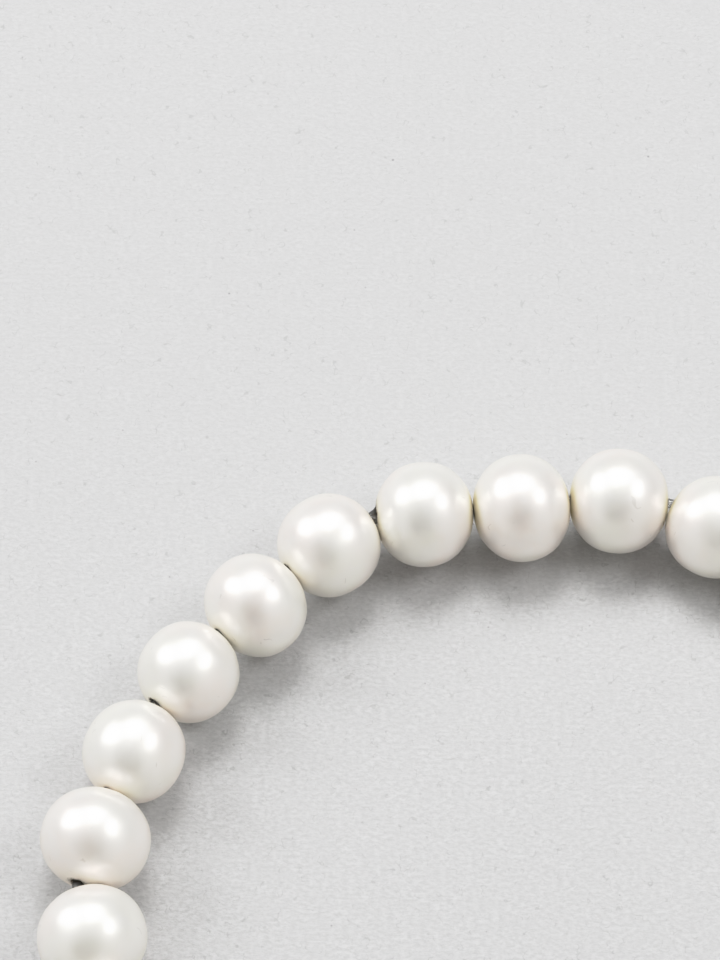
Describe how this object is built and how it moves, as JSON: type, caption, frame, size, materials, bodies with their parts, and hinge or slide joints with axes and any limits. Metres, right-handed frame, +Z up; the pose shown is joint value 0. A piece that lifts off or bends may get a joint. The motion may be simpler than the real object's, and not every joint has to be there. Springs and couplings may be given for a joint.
{
  "type": "pearl bracelet",
  "caption": "Single-row pearl stretch bracelet: near-round white pearls strung edge to edge on a clear elastic cord, lying as a closed loop.",
  "frame": {"origin": "middle of the loop's outline, on the surface that the pearls rest on", "axes": "+Z up, square to the loop's plane; +X and +Y in the plane of the surface"},
  "size_m": [0.0674, 0.0676, 0.0075],
  "materials": {
    "pearl": "cream white nacre with a soft satin lustre and a faint pink and silver overtone",
    "elastic": "clear stretch cord, glossy"
  },
  "bodies": {
    "root": {"pearl_01": "pearl", "pearl_02": "pearl", "pearl_03": "pearl", "pearl_04": "pearl", "pearl_05": "pearl", "pearl_06": "pearl", "pearl_07": "pearl", "pearl_08": "pearl", "pearl_09": "pearl", "pearl_10": "pearl", "pearl_11": "pearl", "pearl_12": "pearl", "pearl_13": "pearl", "pearl_14": "pearl", "pearl_15": "pearl", "pearl_16": "pearl", "pearl_17": "pearl", "pearl_18": "pearl", "pearl_19": "pearl", "pearl_20": "pearl", "pearl_21": "pearl", "pearl_22": "pearl", "pearl_23": "pearl", "pearl_24": "pearl", "pearl_25": "pearl", "pearl_26": "pearl", "pearl_27": "pearl", "pearl_28": "pearl", "elastic_cord": "elastic"}
  },
  "joints": []
}
